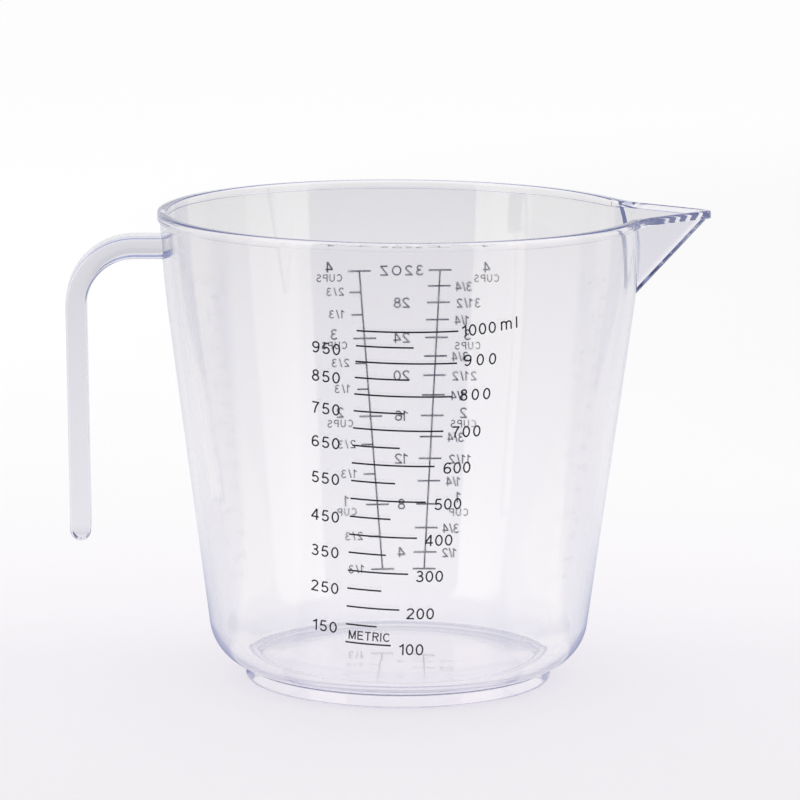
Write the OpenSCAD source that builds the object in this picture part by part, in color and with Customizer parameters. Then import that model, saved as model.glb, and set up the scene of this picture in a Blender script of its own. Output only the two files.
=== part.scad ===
// Clear measuring and mixing cup, about one litre: a tapered cup with a rim bead and a foot
// ring, a folded V spout, an open hook handle, and the scales printed on its outer wall.
// Millimetres. The origin is on the cup's axis where it stands on the table, +Z is up,
// the spout points along +X, the handle along -X, and the metric scale faces -Y.

/* [Cup] */
// Height from the table to the top of the rim
cup_h = 131.5; // [120:0.5:145]
// Outer radius that the straight cone of the wall has at table height
cone_base_r = 51; // [48:0.5:54]
// Growth of the wall's outer radius for each millimetre of height
wall_taper = 0.132; // [0.11:0.002:0.15]
// Thickness of the wall, measured level
wall_t = 2; // [1.4:0.1:2.6]
// Height of the upper part of the wall that stands up a little more steeply
ease_h = 31.5; // [20:0.5:40]
// How far that upper part ends inside the straight cone, at the rim
ease_in = 1.4; // [0.4:0.1:1.8]

/* [Floor and foot] */
// Outer radius of the foot ring
foot_r = 42.8; // [38:0.2:44]
// Width of the foot ring's rim that stands on the table
foot_ring_w = 2.5; // [1.8:0.1:4]
// Height of the floor's underside above the table
foot_h = 3.5; // [2:0.1:6]
// Thickness of the floor
floor_t = 2.5; // [1.8:0.1:4]
// Outer radius of the rounded corner between floor and wall
corner_r = 13.5; // [10:0.5:16]

/* [Rim bead] */
// Height of the bead round the outside of the rim
bead_h = 2.6; // [1.6:0.1:4]
// How far the bead stands out from the wall
bead_out = 0.6; // [0.3:0.1:1.2]
// Radius that rounds the bead's upper edge
bead_edge_r = 0.7; // [0.3:0.1:1]

/* [Spout] */
// How far the spout's tip stands out beyond the rim bead
spout_out = 18.6; // [15:0.2:24]
// Angle between the spout's axis and each of its sides, seen from above
spout_half_angle = 40.4; // [36:0.2:44]
// Angle of the keel, the fold under the spout, above level
keel_angle = 47.4; // [42:0.2:52]
// Thickness of the spout's two sides
spout_t = 2; // [1.4:0.1:2.4]
// Outer radius of the fold along the keel
keel_r = 3.5; // [2.8:0.1:4.5]
// Height of the upright lip round the spout's edge
lip_h = 2.2; // [1.4:0.1:3.4]
// How far the lip stands out from the spout's sides
lip_out = 0.5; // [0.2:0.1:0.9]
// Radius of the lip round the tip, seen from above
lip_tip_r = 2.3; // [1.6:0.1:3.2]

/* [Handle] */
// Distance from the top of the rim down to the top of the handle's arm
handle_drop = 7.2; // [5:0.2:12]
// How far the handle's leg stands out beyond the rim bead
handle_out = 25.3; // [22:0.1:36]
// Thickness of the handle bar, across the bend
handle_t = 5.8; // [4.6:0.2:7]
// Width of the handle bar, level across the arm
handle_w = 13; // [9:0.5:18]
// Radius that rounds the bar's long edges
handle_edge_r = 0.8; // [0.5:0.1:2]
// Radius of the bend along the middle of the bar
handle_bend_r = 16.1; // [10:0.1:20]
// Lean of the leg towards the cup
handle_lean = 0.9; // [0:0.1:2]
// Height of the leg's lower end above the table
handle_tip_z = 39.4; // [25:0.2:60]

/* [Printed scales] */
// Width of the printed lines
line_w = 0.45; // [0.25:0.01:0.6]
// Thickness of the ink
ink_t = 0.1; // [0.06:0.01:0.2]
// Length along the wall from the table to the 100 ml line
metric_foot = 20.6; // [19:0.2:26]
// Length along the wall from the top of the rim down to the 1000 ml line
metric_head = 24.1; // [16:0.2:32]
// Share by which the metric lines close up towards the rim
metric_bunch = 0.055; // [0:0.005:0.1]
// Left end of the 100 ml line, to the right of the wall's front centre line
metric_x = -16.8; // [-22:0.1:-8]
// Length of the 100 ml line
metric_first_l = 12.4; // [10:0.1:16]
// Length of the longest metric lines, the upper even hundreds
metric_long_l = 27.1; // [20:0.1:30]
// Length of the 150 ml line, the shortest of the half steps
metric_half_first_l = 8.4; // [6:0.1:10]
// Length of the 950 ml line, the longest of the half steps
metric_half_last_l = 15.3; // [12:0.1:18]
// Turn of the metric artwork on the wall
metric_turn = -1.5; // [-3:0.1:3]
// Share of that turn that the 1000 ml line gives up, as the uppermost lines level out
metric_level = 0.95; // [0:0.05:1]
// Length along the wall from the table to the foot of the two cup tracks
track_foot = 18.9; // [18:0.1:26]
// Length along the wall from the top of the rim down to the tracks' top ticks
track_head = 26.6; // [18:0.2:34]
// Share by which the cup ticks close up towards the rim
track_bunch = 0.24; // [0:0.01:0.3]
// Distance between the tracks' rails at the foot
track_gap_foot = 12.5; // [10:0.1:16]
// Distance between the tracks' rails at the top
track_gap_head = 24.2; // [20:0.1:30]
// Middle of the two tracks at their foot, to the right of the wall's back centre line
track_x = -3.7; // [-8:0.1:8]
// Turn of the cup tracks' artwork on the wall
track_turn = -0.8; // [-3:0.1:3]
// Length of a tick that crosses its rail
tick_l = 6.9; // [4:0.1:8]

/* [Hidden] */

clear_plastic = [0.90, 0.90, 0.97, 0.45];
ink_black = [0.05, 0.05, 0.06];
$fn = 96;
overshoot = 1;

// Wall: a straight cone that eases inwards over its upper part.
half_angle = atan(wall_taper);
ease_z = cup_h - ease_h;
function wall_r(z) = cone_base_r + wall_taper * z - ease_in * pow(max(0, z - ease_z) / ease_h, 2);
function inner_r(z) = wall_r(z) - wall_t;

// A corner arc that touches the cone on one side and a level plane below.
function corner_centre(base_r, plane_z, r) =
    [base_r + wall_taper * (plane_z + r) - r / cos(half_angle), plane_z + r];
function corner_arc(base_r, plane_z, r) =
    let (c = corner_centre(base_r, plane_z, r))
    [for (i = [0:corner_steps])
     let (a = -90 + i * (90 - half_angle) / corner_steps) c + r * [cos(a), sin(a)]];
function reversed(list) = [for (i = [len(list) - 1:-1:0]) list[i]];

corner_steps = 12;
ease_steps = 7;
bead_turn = 18;
wall_top_z = cup_h - bead_h;
inner_corner_r = corner_r - wall_t;
inner_floor_z = foot_h + floor_t;
outer_rise = [for (i = [0:ease_steps]) let (z = ease_z + i * (wall_top_z - ease_z) / ease_steps)
              [wall_r(z), z]];
inner_rise = [for (i = [0:ease_steps])
              let (z = ease_z + i * (cup_h - bead_edge_r - ease_z) / ease_steps) [inner_r(z), z]];
bead_r = wall_r(cup_h) + bead_out;
inner_edge_r = inner_r(cup_h);

// Outside of the cup from its rounded corner up to the top of the bead.
outer_outline = concat(corner_arc(cone_base_r, foot_h, corner_r), outer_rise,
                       [[bead_r, wall_top_z]],
                       [for (a = [0:bead_turn:90]) [bead_r - bead_edge_r, cup_h - bead_edge_r]
                                                   + bead_edge_r * [cos(a), sin(a)]]);
// Inside of the cup from the rounded edge of the rim down to the floor at the axis.
inner_outline = concat([for (a = [90:-bead_turn:0]) [inner_edge_r + bead_edge_r, cup_h - bead_edge_r]
                                                    + bead_edge_r * [-cos(a), sin(a)]],
                       [for (i = [ease_steps - 1:-1:0]) inner_rise[i]],
                       reversed(corner_arc(cone_base_r - wall_t, inner_floor_z, inner_corner_r)),
                       [[0, inner_floor_z]]);
// Underside from the axis out over the foot ring.
foot_outline = [[0, foot_h], [foot_r - foot_ring_w, foot_h], [foot_r - foot_ring_w, 0],
                [foot_r, 0], [foot_r, foot_h]];

// Spout: a V trough whose two sides share the keel, under an upright lip.
spout_reach = bead_r + spout_out;
trough_half_angle = atan(tan(spout_half_angle) / sin(keel_angle));
lip_apex_x = spout_reach + lip_tip_r * (1 / sin(spout_half_angle) - 1);
keel_top = [lip_apex_x - lip_out / sin(spout_half_angle), cup_h - lip_h];
trough_span = 1.1 * spout_reach;
lip_arm = spout_reach / 2;
fold_steps = 5;
trough_cut_x = inner_edge_r / 2;

// Handle: arm out of the wall, bend, and a leg that leans in towards the cup.
handle_reach = bead_r + handle_out;
arm_z = cup_h - handle_drop - handle_t / 2;
bend_x = -(handle_reach - handle_t / 2 - handle_bend_r);
bend_angle = 90 + handle_lean;
bend_z = arm_z - handle_bend_r;
leg_l = (bend_z - handle_bend_r * sin(handle_lean) - handle_tip_z) / cos(handle_lean);

// Printed scales: flat artwork laid on the unrolled cone of the wall.
cone_l = cone_base_r / sin(half_angle);
wall_l = cup_h / cos(half_angle);
ink_gap = 0.03;
stroke_step = 3.2;
ml_first = 100;
ml_last = 1000;
ml_step = 50;
ml_full = 850;
cups_first = 1 / 3;
cups_last = 4;
metric_span = wall_l - metric_head - metric_foot;
track_span = wall_l - track_head - track_foot;
metric_bunch_power = 4;
metric_level_power = 6;
track_bunch_power = 2;
function bunched(t, share, power) = (1 + share) * t - share * pow(t, power);
function metric_y(ml) =
    metric_span * bunched((ml - ml_first) / (ml_last - ml_first), metric_bunch, metric_bunch_power);
// The quarters' lowest tick shares the height of the thirds' lowest one.
function cup_y(cups) =
    max(0, track_span * bunched((cups - cups_first) / (cups_last - cups_first), track_bunch,
                                track_bunch_power));
function rail_x(y) =
    (track_gap_foot + (track_gap_head - track_gap_foot) * y / track_span) / 2;
// Lengths grow with the volume; the even hundreds stop growing at ml_full.
function grown(first_l, last_l, share) = first_l + (last_l - first_l) * min(1, share);
function metric_line_l(ml) =
    ml % (2 * ml_step) == 0
        ? grown(metric_first_l, metric_long_l, (ml - ml_first) / (ml_full - ml_first))
        : grown(metric_half_first_l, metric_half_last_l,
                (ml - ml_first - ml_step) / (ml_last - ml_first - 2 * ml_step));

// How far a metric line's right end rises out of the artwork's turn.
function metric_rise(ml) =
    -metric_line_l(ml) * tan(metric_turn) * metric_level
    * pow((ml - ml_first) / (ml_last - ml_first), metric_level_power);

// Turns a point of the artwork about its origin and moves it to its place.
function placed(p, turn, at) =
    [p.x * cos(turn) - p.y * sin(turn) + at.x, p.x * sin(turn) + p.y * cos(turn) + at.y];
// Point of the wall's front for a point of the unrolled cone, raised by lift.
function on_wall(p, lift) =
    let (s = norm([p.x, cone_l + p.y]), a = atan2(p.x, cone_l + p.y) / sin(half_angle),
         z = (s - cone_l) * cos(half_angle), r = wall_r(z) + lift)
    [r * sin(a), -r * cos(a), z];

// One printed line from a to b of the artwork, as thin ink that follows the wall.
module stroke(a, b, turn, at) {
    steps = ceil(norm(b - a) / stroke_step);
    side = line_w / 2 * [a.y - b.y, b.x - a.x] / norm(b - a);
    points = [for (i = [0:steps]) let (c = a + (b - a) * i / steps)
              for (corner = [[side, 0], [-side, 0], [-side, ink_t], [side, ink_t]])
              on_wall(placed(c + corner[0], turn, at), ink_gap + corner[1])];
    last = 4 * steps;
    sides = [for (i = [0:steps - 1], k = [0:3])
             let (p = 4 * i + k, q = 4 * i + (k + 1) % 4) each [[p, q, q + 4], [p, q + 4, p + 4]]];
    ends = [[0, 2, 1], [0, 3, 2], [last, last + 1, last + 2], [last, last + 2, last + 3]];
    polyhedron(points = points, faces = concat(ends, [for (f = sides) [f[0], f[2], f[1]]]),
               convexity = 4);
}

// Solid of revolution with the cup's outside, filled to the top.
module cup_outside() {
    rotate_extrude() polygon(concat([[0, foot_h]], outer_outline, [[0, cup_h]]));
}

// Outline of a V that opens along +Y: half angle g, a fold of radius r about fold, arms of
// length arm.
function rounded_v(g, r, fold, arm) =
    let (arc = [for (i = [-fold_steps:fold_steps]) let (a = -90 + i * (90 - g) / fold_steps)
                fold + r * [cos(a), sin(a)]],
         up = arm * [sin(g), cos(g)])
    concat([arc[0] + [-up.x, up.y]], arc, [arc[len(arc) - 1] + up]);

// Section of the trough across its keel, inset into itself.
module trough_section(inset) {
    polygon(rounded_v(trough_half_angle, keel_r - inset, [0, keel_r / sin(trough_half_angle)],
                      trough_span));
}

// Long trough along the keel, from above the lip down past the cup's wall.
module trough(inset) {
    translate([keel_top.x, 0, keel_top.y]) rotate([0, -(90 + keel_angle), 0])
        rotate([0, 0, -90]) translate([0, 0, -trough_span / 2])
            linear_extrude(height = trough_span) trough_section(inset);
}

// Upright prism over the spout's plan: a V with a round tip, from height z0 to z1.
module lip_plan(z0, z1) {
    translate([0, 0, z0]) linear_extrude(height = z1 - z0) rotate(90)
        polygon(rounded_v(spout_half_angle, lip_tip_r, [0, -spout_reach + lip_tip_r], lip_arm));
}

// Room inside the spout, cut off before it reaches the far side of the cup.
module spout_channel() {
    intersection() {
        trough(spout_t);
        translate([trough_cut_x, -spout_reach, 0])
            cube([spout_reach, 2 * spout_reach, cup_h + overshoot]);
    }
}

// Section of the handle bar in its own plane: a rectangle with rounded corners.
module bar_section() {
    square([handle_t - 2 * handle_edge_r, handle_w], center = true);
    square([handle_t, handle_w - 2 * handle_edge_r], center = true);
    for (sx = [-1, 1], sy = [-1, 1])
        translate([sx * (handle_t / 2 - handle_edge_r), sy * (handle_w / 2 - handle_edge_r)])
            circle(r = handle_edge_r);
}

// Leg pointing down from its own origin, with a round end.
module handle_leg() {
    intersection() {
        translate([0, 0, -leg_l]) linear_extrude(height = leg_l) bar_section();
        rotate([90, 0, 0]) translate([0, 0, -handle_w]) linear_extrude(height = 2 * handle_w) {
            translate([0, -leg_l + handle_t / 2]) circle(d = handle_t);
            translate([-handle_t / 2, -leg_l + handle_t / 2]) square([handle_t, leg_l]);
        }
    }
}

// Cup in one piece: floor on its foot ring, rounded corner, wall and rim bead.
module cup_body() {
    color(clear_plastic) difference() {
        rotate_extrude() polygon(concat(foot_outline, outer_outline, inner_outline));
        spout_channel();
    }
}

// V spout that carries the rim out to a pointed tip, seated on the cup's wall.
module pouring_spout() {
    color(clear_plastic) difference() {
        intersection() {
            union() {
                trough(0);
                lip_plan(cup_h - lip_h, cup_h);
            }
            lip_plan(0, cup_h);
        }
        trough(spout_t);
        cup_outside();
    }
}

// Open hook handle, fixed to the wall only at its top.
module handle() {
    color(clear_plastic) difference() {
        union() {
            translate([bend_x, 0, arm_z]) rotate([0, 90, 0])
                linear_extrude(height = -bend_x) bar_section();
            translate([bend_x, 0, bend_z]) rotate([90, 0, 0]) rotate([0, 0, 90])
                rotate_extrude(angle = bend_angle) translate([handle_bend_r, 0]) bar_section();
            translate([bend_x, 0, bend_z]) rotate([0, -handle_lean, 0])
                translate([-handle_bend_r, 0, 0]) handle_leg();
        }
        cup_outside();
    }
}

// Metric scale: a line each 50 ml, the even hundreds longer, all from one left edge.
module metric_lines() {
    color(ink_black) for (ml = [ml_first:ml_step:ml_last])
        stroke([0, metric_y(ml)], [metric_line_l(ml), metric_y(ml) + metric_rise(ml)], metric_turn,
               [metric_x, metric_foot]);
}

// Rail of one cup track on the back, side 1 for the right one and -1 for the left.
module rail(side) {
    stroke([side * rail_x(0), 0], [side * rail_x(track_span), track_span], track_turn,
           [track_x, track_foot]);
}

// Tick of a cup track, from one end to the other measured across the rail.
module tick(side, cups, from, to) {
    y = cup_y(cups);
    stroke([side * (rail_x(y) + from), y], [side * (rail_x(y) + to), y], track_turn,
           [track_x, track_foot]);
}

// Cup track in thirds, with whole cups right across the rail.
module thirds_track() {
    color(ink_black) rotate([0, 0, 180]) {
        rail(1);
        for (third = [1:3 * cups_last])
            tick(1, third / 3, third % 3 == 0 || third == 1 ? -tick_l / 2 : 0, tick_l / 2);
    }
}

// Cup track in quarters, each tick right across the rail.
module quarters_track() {
    color(ink_black) rotate([0, 0, 180]) {
        rail(-1);
        for (quarter = [1:4 * cups_last]) tick(-1, quarter / 4, -tick_l / 2, tick_l / 2);
    }
}

cup_body();
pouring_spout();
handle();
metric_lines();
thirds_track();
quarters_track();
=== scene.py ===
"""Looks of the clear mixing cup: a moulded styrene cup with a folded spout, a hook handle and print.

Lengths in the classes are millimetres, as in the part's source; meshes are metres, in the frame's own axes.
"""

import logging
import math
from dataclasses import dataclass, field, replace
from enum import Enum
from typing import Callable, Sequence

import bpy
import numpy as np
from mathutils import Matrix, Vector

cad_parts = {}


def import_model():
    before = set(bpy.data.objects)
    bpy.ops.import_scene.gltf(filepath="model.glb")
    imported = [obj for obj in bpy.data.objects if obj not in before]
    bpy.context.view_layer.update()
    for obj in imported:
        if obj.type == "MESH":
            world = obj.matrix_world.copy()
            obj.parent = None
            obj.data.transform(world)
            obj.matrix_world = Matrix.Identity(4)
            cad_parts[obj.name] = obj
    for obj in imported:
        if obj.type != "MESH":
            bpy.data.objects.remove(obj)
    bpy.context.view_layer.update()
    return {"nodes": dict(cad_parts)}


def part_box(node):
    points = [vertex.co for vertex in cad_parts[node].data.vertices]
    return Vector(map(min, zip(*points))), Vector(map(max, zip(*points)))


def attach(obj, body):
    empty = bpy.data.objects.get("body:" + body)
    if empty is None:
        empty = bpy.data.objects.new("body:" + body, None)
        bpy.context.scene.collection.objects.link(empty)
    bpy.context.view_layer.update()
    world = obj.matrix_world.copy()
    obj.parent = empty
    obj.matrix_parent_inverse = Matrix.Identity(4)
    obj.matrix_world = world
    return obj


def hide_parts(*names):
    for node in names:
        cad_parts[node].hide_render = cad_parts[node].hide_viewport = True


MM = 0.001
BODY = "root"
# Marks the faces where two parts of the one moulding meet.
MEETING = "meeting_face"
OUNCES_PER_CUP = 8
# The fractions of a cup below this one have no figure of their own.
LEAST_CUPS = 0.3
log = logging.getLogger("mixing_cup")

Point = tuple[float, float]
# Directions in radians, radii and heights of one ring of vertices about the cup's axis.
Row = tuple[np.ndarray, np.ndarray, np.ndarray]


class Slot(Enum):
    """The record's material slots."""

    CLEAR = "clear_plastic"
    INK = "ink"


class Side(Enum):
    """Side of the wall that a print is on, as the turn about the axis from the front."""

    FRONT = 0.0
    BACK = math.pi


def linear(code: str) -> tuple[float, float, float, float]:
    """Turns an sRGB hex colour into linear values.

    Args:
        code: Six hex digits after a #.

    Returns:
        Linear red, green and blue, with an alpha of 1.
    """
    shares = [int(code[i:i + 2], 16) / 255 for i in (1, 3, 5)]
    values = [s / 12.92 if s <= 0.04045 else ((s + 0.055) / 1.055) ** 2.4 for s in shares]
    return (values[0], values[1], values[2], 1.0)


def add_node(tree: bpy.types.NodeTree, kind: str, settings: dict | None = None,
             links: dict | None = None) -> bpy.types.Node:
    """Adds one node with its settings and links.

    Args:
        tree: Node tree that gets the node.
        kind: Blender's type name of the node.
        settings: Attribute names, or socket names or indices, with their values.
        links: Input socket names or indices, with the output socket that feeds each.

    Returns:
        The new node.
    """
    node = tree.nodes.new(kind)
    for name, value in (settings or {}).items():
        if isinstance(name, str) and hasattr(node, name):
            setattr(node, name, value)
        else:
            node.inputs[name].default_value = value
    for name, source in (links or {}).items():
        tree.links.new(source, node.inputs[name])
    return node


def new_material(name: str) -> tuple[bpy.types.Material, bpy.types.NodeTree]:
    """Makes an empty node material.

    Args:
        name: Name of the material.

    Returns:
        The material and its tree.
    """
    material = bpy.data.materials.new(name)
    material.use_nodes = True
    material.node_tree.nodes.clear()
    return material, material.node_tree


def mesh_piece(name: str, points: np.ndarray, faces: Sequence[Sequence[int]]) -> bpy.types.Object:
    """Makes a mesh object from points in millimetres.

    Args:
        name: Name of the piece.
        points: Array of x, y, z rows, in millimetres.
        faces: Vertex indices of each face.

    Returns:
        The linked object.
    """
    mesh = bpy.data.meshes.new(name)
    mesh.from_pydata((np.asarray(points) * MM).tolist(), [], [list(f) for f in faces])
    mesh.validate()
    piece = bpy.data.objects.new(name, mesh)
    bpy.context.scene.collection.objects.link(piece)
    return piece


def grid_faces(rows: int, columns: int) -> list[tuple[int, ...]]:
    """Quads that join successive rows of vertices, each row running round once.

    Args:
        rows: Number of rows.
        columns: Vertices in each row, the last of which joins up with the first.

    Returns:
        Vertex indices of the quads.
    """
    faces = []
    for row in range(rows - 1):
        for j in range(columns):
            low, low_next = row * columns + j, row * columns + (j + 1) % columns
            faces.append((low, low_next, low_next + columns, low + columns))
    return faces


def eased(start: Point, corner: Point, end: Point, steps: int = 4) -> list[Point]:
    """Points of a rounded corner, on a parabola that leaves start and reaches end along the corner.

    Args:
        start: Where the rounding starts.
        corner: The sharp corner that it rounds.
        end: Where the rounding ends.
        steps: Number of steps from start to end.

    Returns:
        The points, both ends included.
    """
    points = []
    for i in range(steps + 1):
        t = i / steps
        points.append(tuple((1 - t) ** 2 * a + 2 * t * (1 - t) * b + t * t * c
                            for a, b, c in zip(start, corner, end)))
    return points


def smooth_max(a: np.ndarray, b: np.ndarray, fillet: float) -> np.ndarray:
    """The larger of two radii, blended where they differ by less than the fillet.

    Args:
        a: First radii.
        b: Second radii.
        fillet: Length of the blend, in millimetres.

    Returns:
        The blended radii.
    """
    h = np.maximum(fillet - np.abs(a - b), 0) / fillet
    return np.maximum(a, b) + h * h * fillet / 4


@dataclass(frozen=True)
class ClearStyrene:
    """Clear polystyrene, moulded in a polished tool: glass-clear, with a violet cast where it is thick."""

    tint: str = "#FFFEFE"
    ior: float = 1.57
    # Absorption per metre: a wall takes next to nothing, and a long way along the rim leaves blue violet.
    cast: str = "#8A8DB8"
    cast_density: float = 15.0
    # The melt's flow leaves waves millimetres apart and microns deep, which bend reflections a little.
    flow_mm: float = 14.0
    flow_depth_mm: float = 0.012
    flow_strength: float = 0.5
    # Wiping leaves a haze that shows as a little roughness in patches.
    haze_mm: float = 3.5
    haze_band: tuple[float, float] = (0.35, 0.75)
    roughness: tuple[float, float] = (0.015, 0.05)
    # Lamps and the floor's own light pass straight through, so the shadow is as pale as a clear cup's.
    passed: str = "#FEFDFE"
    # After this many turns inside the plastic, a ray ends on a painted glow, an even tone that stands in for
    # the light there: blue violet in the rim, spout and handle, and painted nearly white close to the paper
    # that the cup stands on.
    most_turns: int = 8
    mixed: str = "#888DB0"
    mixed_low: str = "#E6E6EF"
    low_mm: float = 35.0
    high_mm: float = 85.0

    def _polished(self, tree: bpy.types.NodeTree, place: bpy.types.NodeSocket) -> bpy.types.NodeSocket:
        """Adds the refracting surface, faintly wavy from the flow and faintly hazed by handling.

        Args:
            tree: Tree of the plastic.
            place: Object coordinates.

        Returns:
            Socket with the surface.
        """
        flow = add_node(tree, "ShaderNodeTexNoise", {"Scale": 1 / (self.flow_mm * MM), "Detail": 1.5},
                        {"Vector": place})
        haze = add_node(tree, "ShaderNodeTexNoise", {"Scale": 1 / (self.haze_mm * MM), "Detail": 4.0},
                        {"Vector": place})
        roughness = add_node(tree, "ShaderNodeMapRange",
                             {"From Min": self.haze_band[0], "From Max": self.haze_band[1],
                              "To Min": self.roughness[0], "To Max": self.roughness[1]},
                             {"Value": haze.outputs["Fac"]})
        bump = add_node(tree, "ShaderNodeBump",
                        {"Strength": self.flow_strength, "Distance": self.flow_depth_mm * MM},
                        {"Height": flow.outputs["Fac"]})
        plastic = add_node(tree, "ShaderNodeBsdfPrincipled",
                           {"Base Color": linear(self.tint), "IOR": self.ior, "Transmission Weight": 1.0},
                           {"Roughness": roughness.outputs["Result"], "Normal": bump.outputs["Normal"]})
        return plastic.outputs[0]

    def _mixed_light(self, tree: bpy.types.NodeTree, place: bpy.types.NodeSocket) -> bpy.types.NodeSocket:
        """Adds a painted glow, an even tone that stands in for light that has turned often inside the
        plastic.

        Args:
            tree: Tree of the plastic.
            place: Object coordinates.

        Returns:
            Socket with the tone as a surface.
        """
        up = add_node(tree, "ShaderNodeSeparateXYZ", None, {0: place}).outputs["Z"]
        risen = add_node(tree, "ShaderNodeMapRange",
                         {"From Min": self.low_mm * MM, "From Max": self.high_mm * MM}, {"Value": up})
        tone = add_node(tree, "ShaderNodeMix",
                        {"data_type": "RGBA", 6: linear(self.mixed_low), 7: linear(self.mixed)},
                        {0: risen.outputs[0]})
        return add_node(tree, "ShaderNodeEmission", {"Strength": 1.0}, {"Color": tone.outputs[2]}).outputs[0]

    def moulded(self) -> bpy.types.Material:
        """Makes the moulding's plastic.

        Returns:
            A refracting material with a violet cast and a painted glow on its longest paths, through which
            shadows stay pale.
        """
        material, tree = new_material("polystyrene_clear_moulded")
        place = add_node(tree, "ShaderNodeTexCoord").outputs["Object"]
        path = add_node(tree, "ShaderNodeLightPath")
        passing = add_node(tree, "ShaderNodeBsdfTransparent", {"Color": linear(self.passed)}).outputs[0]
        long_way = add_node(tree, "ShaderNodeMath", {"operation": "GREATER_THAN", 1: float(self.most_turns)},
                            {0: path.outputs["Ray Depth"]})
        meeting = add_node(tree, "ShaderNodeAttribute", {"attribute_name": MEETING})
        unseen = add_node(tree, "ShaderNodeBsdfTransparent", {"Color": (1.0, 1.0, 1.0, 1.0)}).outputs[0]
        surface = self._polished(tree, place)
        # Shadow and diffuse rays pass, and rays that have turned too often end on a painted glow. Faces where
        # two parts of the one moulding meet come last, and bend and mirror nothing.
        for share, other in ((path.outputs["Is Shadow Ray"], passing),
                             (path.outputs["Is Diffuse Ray"], passing),
                             (long_way.outputs[0], self._mixed_light(tree, place)),
                             (meeting.outputs["Fac"], unseen)):
            surface = add_node(tree, "ShaderNodeMixShader", None, {0: share, 1: surface, 2: other}).outputs[0]
        absorbing = add_node(tree, "ShaderNodeVolumeAbsorption",
                             {"Color": linear(self.cast), "Density": self.cast_density})
        add_node(tree, "ShaderNodeOutputMaterial", None, {"Surface": surface, "Volume": absorbing.outputs[0]})
        return material


@dataclass(frozen=True)
class ScreenInk:
    """Black solvent ink, screen printed: opaque, duller than the plastic, with a mesh's faint grain."""

    thick: str = "#08080A"
    thin: str = "#15151A"
    # The screen's threads lie about 0.1 mm apart. Their grain is drawn coarser than that, so that it shows.
    mesh_mm: float = 0.35
    roughness: float = 0.42

    def material(self) -> bpy.types.Material:
        """Makes the ink.

        Returns:
            A dull black, darker where it lies thick and greyer where the screen left it thin.
        """
        material, tree = new_material("screen_ink_black_printed")
        place = add_node(tree, "ShaderNodeTexCoord").outputs["Object"]
        grain = add_node(tree, "ShaderNodeTexNoise", {"Scale": 1 / (self.mesh_mm * MM), "Detail": 2.0},
                         {"Vector": place})
        colour = add_node(tree, "ShaderNodeMix",
                          {"data_type": "RGBA", 6: linear(self.thick), 7: linear(self.thin)},
                          {0: grain.outputs["Fac"]})
        ink = add_node(tree, "ShaderNodeBsdfPrincipled", {"Roughness": self.roughness},
                       {"Base Color": colour.outputs[2]})
        add_node(tree, "ShaderNodeOutputMaterial", None, {"Surface": ink.outputs[0]})
        return material


@dataclass(frozen=True)
class CupSizes:
    """Sizes of the cup's body that all its parts share, in millimetres."""

    height: float
    base_r: float = 51.0
    taper: float = 0.132
    wall: float = 2.0
    ease_h: float = 31.5
    ease_in: float = 1.4
    foot_r: float = 42.8
    foot_ring: float = 2.5
    foot_h: float = 3.5
    floor: float = 2.5
    corner_r: float = 13.5
    bead_h: float = 2.6
    bead_out: float = 0.6
    edge_r: float = 0.7
    small_r: float = 0.5

    @classmethod
    def from_frame(cls) -> "CupSizes":
        """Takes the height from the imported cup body."""
        return cls(height=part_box("cup_body")[1].z / MM)

    def outer_r(self, z: np.ndarray | float) -> np.ndarray:
        """Outer radius of the wall at height z."""
        risen = np.maximum(0, np.asarray(z, float) - (self.height - self.ease_h)) / self.ease_h
        return self.base_r + self.taper * np.asarray(z, float) - self.ease_in * risen ** 2

    @property
    def lean(self) -> float:
        """Angle of the wall from upright, in radians."""
        return math.atan(self.taper)

    @property
    def bead_r(self) -> float:
        """Outer radius of the rim bead."""
        return float(self.outer_r(self.height)) + self.bead_out

    def corner(self, base_r: float, plane_z: float, radius: float, start: float,
               steps: int = 16) -> list[Point]:
        """Points of a corner arc between a level plane and the cone.

        Args:
            base_r: Radius of the cone at table height.
            plane_z: Height of the plane.
            radius: Radius of the arc.
            start: Angle at which the arc starts, in radians, -90 degrees being the plane.
            steps: Number of steps along the arc.

        Returns:
            Radius and height of each point, from the plane up to the cone.
        """
        z = plane_z + radius
        r = base_r + self.taper * z - radius / math.cos(self.lean)
        turns = np.linspace(start, -self.lean, steps + 1)
        return [(r + radius * math.cos(a), z + radius * math.sin(a)) for a in turns]


@dataclass(frozen=True)
class SpoutSizes:
    """Sizes of the folded V spout, in millimetres and degrees."""

    out: float = 18.6
    half_angle: float = 40.4
    keel_angle: float = 47.4
    wall: float = 2.0
    # The plastic is a little thicker in the fold than in the flat sides.
    keel_r: float = 3.5
    keel_in_r: float = 2.8
    lip_h: float = 2.2
    lip_out: float = 0.5
    tip_r: float = 2.3
    # The trough meets the cup in a crisp line, while the rim flows out into the lip in a long curve.
    lip_fillet: float = 5.0
    # The lip's ledge leaves the bead's at this direction, within this many degrees.
    ledge_from: float = 26.0
    ledge_blend: float = 9.0
    # No surface of the spout lies farther out or farther round than this.
    farthest: float = 95.0
    widest: float = 60.0
    halvings: int = 40


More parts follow.
